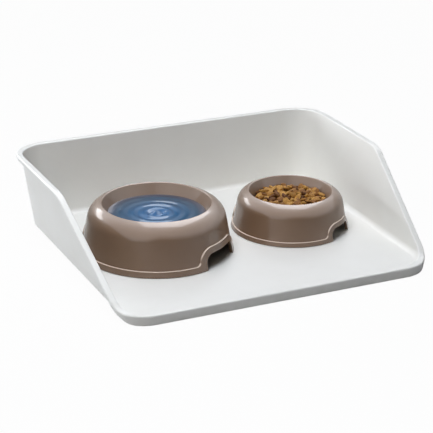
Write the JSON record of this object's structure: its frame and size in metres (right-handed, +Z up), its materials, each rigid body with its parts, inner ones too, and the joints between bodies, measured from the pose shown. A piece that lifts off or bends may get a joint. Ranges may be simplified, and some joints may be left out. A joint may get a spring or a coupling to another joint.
{
  "type": "double pet bowl",
  "caption": "Double pet bowl: a large and a small round bowl with finger notches, standing loose in a splash tray with raised sides and back, low front lip and rubber feet.",
  "frame": {"origin": "centre of the footprint on the ground plane", "axes": "+X along the width towards the small bowl, +Y from the low front lip to the back wall, +Z up"},
  "size_m": [0.4824, 0.3954, 0.117],
  "materials": {
    "white_plastic": "smooth moulded white polypropylene with a soft sheen",
    "taupe_plastic": "smooth moulded taupe polypropylene, glossy",
    "grey_rubber": "matt soft grey rubber"
  },
  "bodies": {
    "tray": {"tray": "white_plastic", "tray_foot_front_left": "grey_rubber", "tray_foot_front_right": "grey_rubber", "tray_foot_rear_left": "grey_rubber", "tray_foot_rear_right": "grey_rubber"},
    "large_bowl": {"large_bowl_dish": "taupe_plastic", "large_bowl_skirt": "taupe_plastic", "large_bowl_foot_1": "grey_rubber", "large_bowl_foot_2": "grey_rubber", "large_bowl_foot_3": "grey_rubber", "large_bowl_foot_4": "grey_rubber"},
    "small_bowl": {"small_bowl_dish": "taupe_plastic", "small_bowl_skirt": "taupe_plastic", "small_bowl_foot_1": "grey_rubber", "small_bowl_foot_2": "grey_rubber", "small_bowl_foot_3": "grey_rubber", "small_bowl_foot_4": "grey_rubber"}
  },
  "joints": [
    {"name": "large_bowl_lift", "type": "slide", "parent": "tray", "child": "large_bowl", "axis": [0, 0, 1], "range_m": [0, 0.2]},
    {"name": "small_bowl_lift", "type": "slide", "parent": "tray", "child": "small_bowl", "axis": [0, 0, 1], "range_m": [0, 0.2]}
  ]
}
